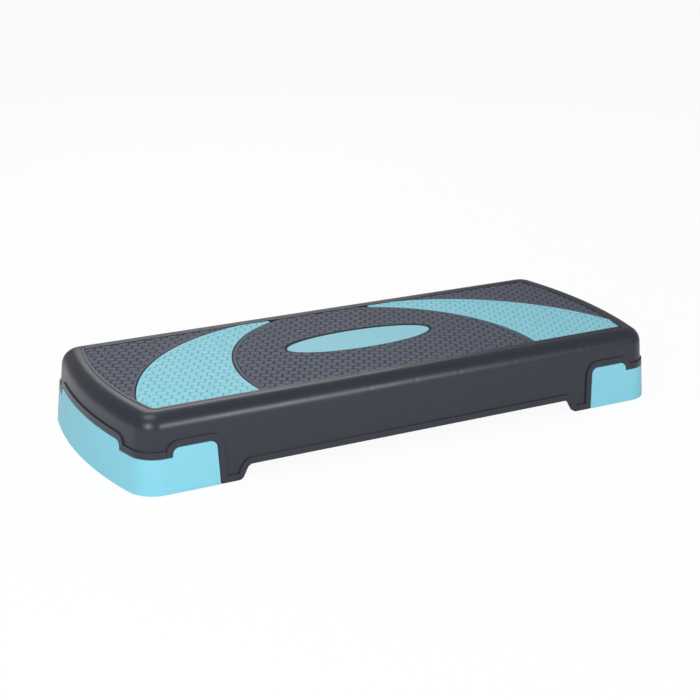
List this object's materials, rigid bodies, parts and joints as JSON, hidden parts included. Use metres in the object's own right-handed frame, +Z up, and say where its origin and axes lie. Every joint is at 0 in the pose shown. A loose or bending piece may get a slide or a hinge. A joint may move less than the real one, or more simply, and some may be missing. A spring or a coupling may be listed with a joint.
{
  "type": "aerobic step platform",
  "caption": "Low exercise step: a long moulded deck with a studded tread and crescent inlays on two end risers that slide down for a second height.",
  "frame": {"origin": "on the floor under the middle of the deck", "axes": "+X along the deck's length, +Y across it towards its back long side, +Z up"},
  "size_m": [0.7638, 0.2998, 0.094],
  "materials": {
    "deck_plastic": "satin moulded polypropylene, charcoal",
    "riser_plastic": "satin moulded polypropylene, light cyan",
    "tread_rubber": "matte studded thermoplastic rubber, charcoal",
    "inlay_rubber": "matte studded thermoplastic rubber, light cyan",
    "badge_plastic": "satin plate, light cyan, bare",
    "foot_rubber": "matte black rubber"
  },
  "bodies": {
    "deck": {"deck": "deck_plastic", "centre_tread": "tread_rubber", "left_tread": "tread_rubber", "right_tread": "tread_rubber", "left_inlay": "inlay_rubber", "right_inlay": "inlay_rubber", "badge_plate": "badge_plastic", "deck_foot_front_left": "foot_rubber", "deck_foot_front_right": "foot_rubber", "deck_foot_back_left": "foot_rubber", "deck_foot_back_right": "foot_rubber"},
    "left_riser": {"left_riser": "riser_plastic", "left_riser_foot_front_inner": "foot_rubber", "left_riser_foot_front_outer": "foot_rubber", "left_riser_foot_back_inner": "foot_rubber", "left_riser_foot_back_outer": "foot_rubber"},
    "right_riser": {"right_riser": "riser_plastic", "right_riser_foot_front_inner": "foot_rubber", "right_riser_foot_front_outer": "foot_rubber", "right_riser_foot_back_inner": "foot_rubber", "right_riser_foot_back_outer": "foot_rubber"}
  },
  "joints": [
    {"name": "left_riser_slide", "type": "slide", "parent": "deck", "child": "left_riser", "axis": [0, 0, -1], "range_m": [0, 0.05]},
    {"name": "right_riser_slide", "type": "slide", "parent": "deck", "child": "right_riser", "axis": [0, 0, -1], "range_m": [0, 0.05]}
  ]
}
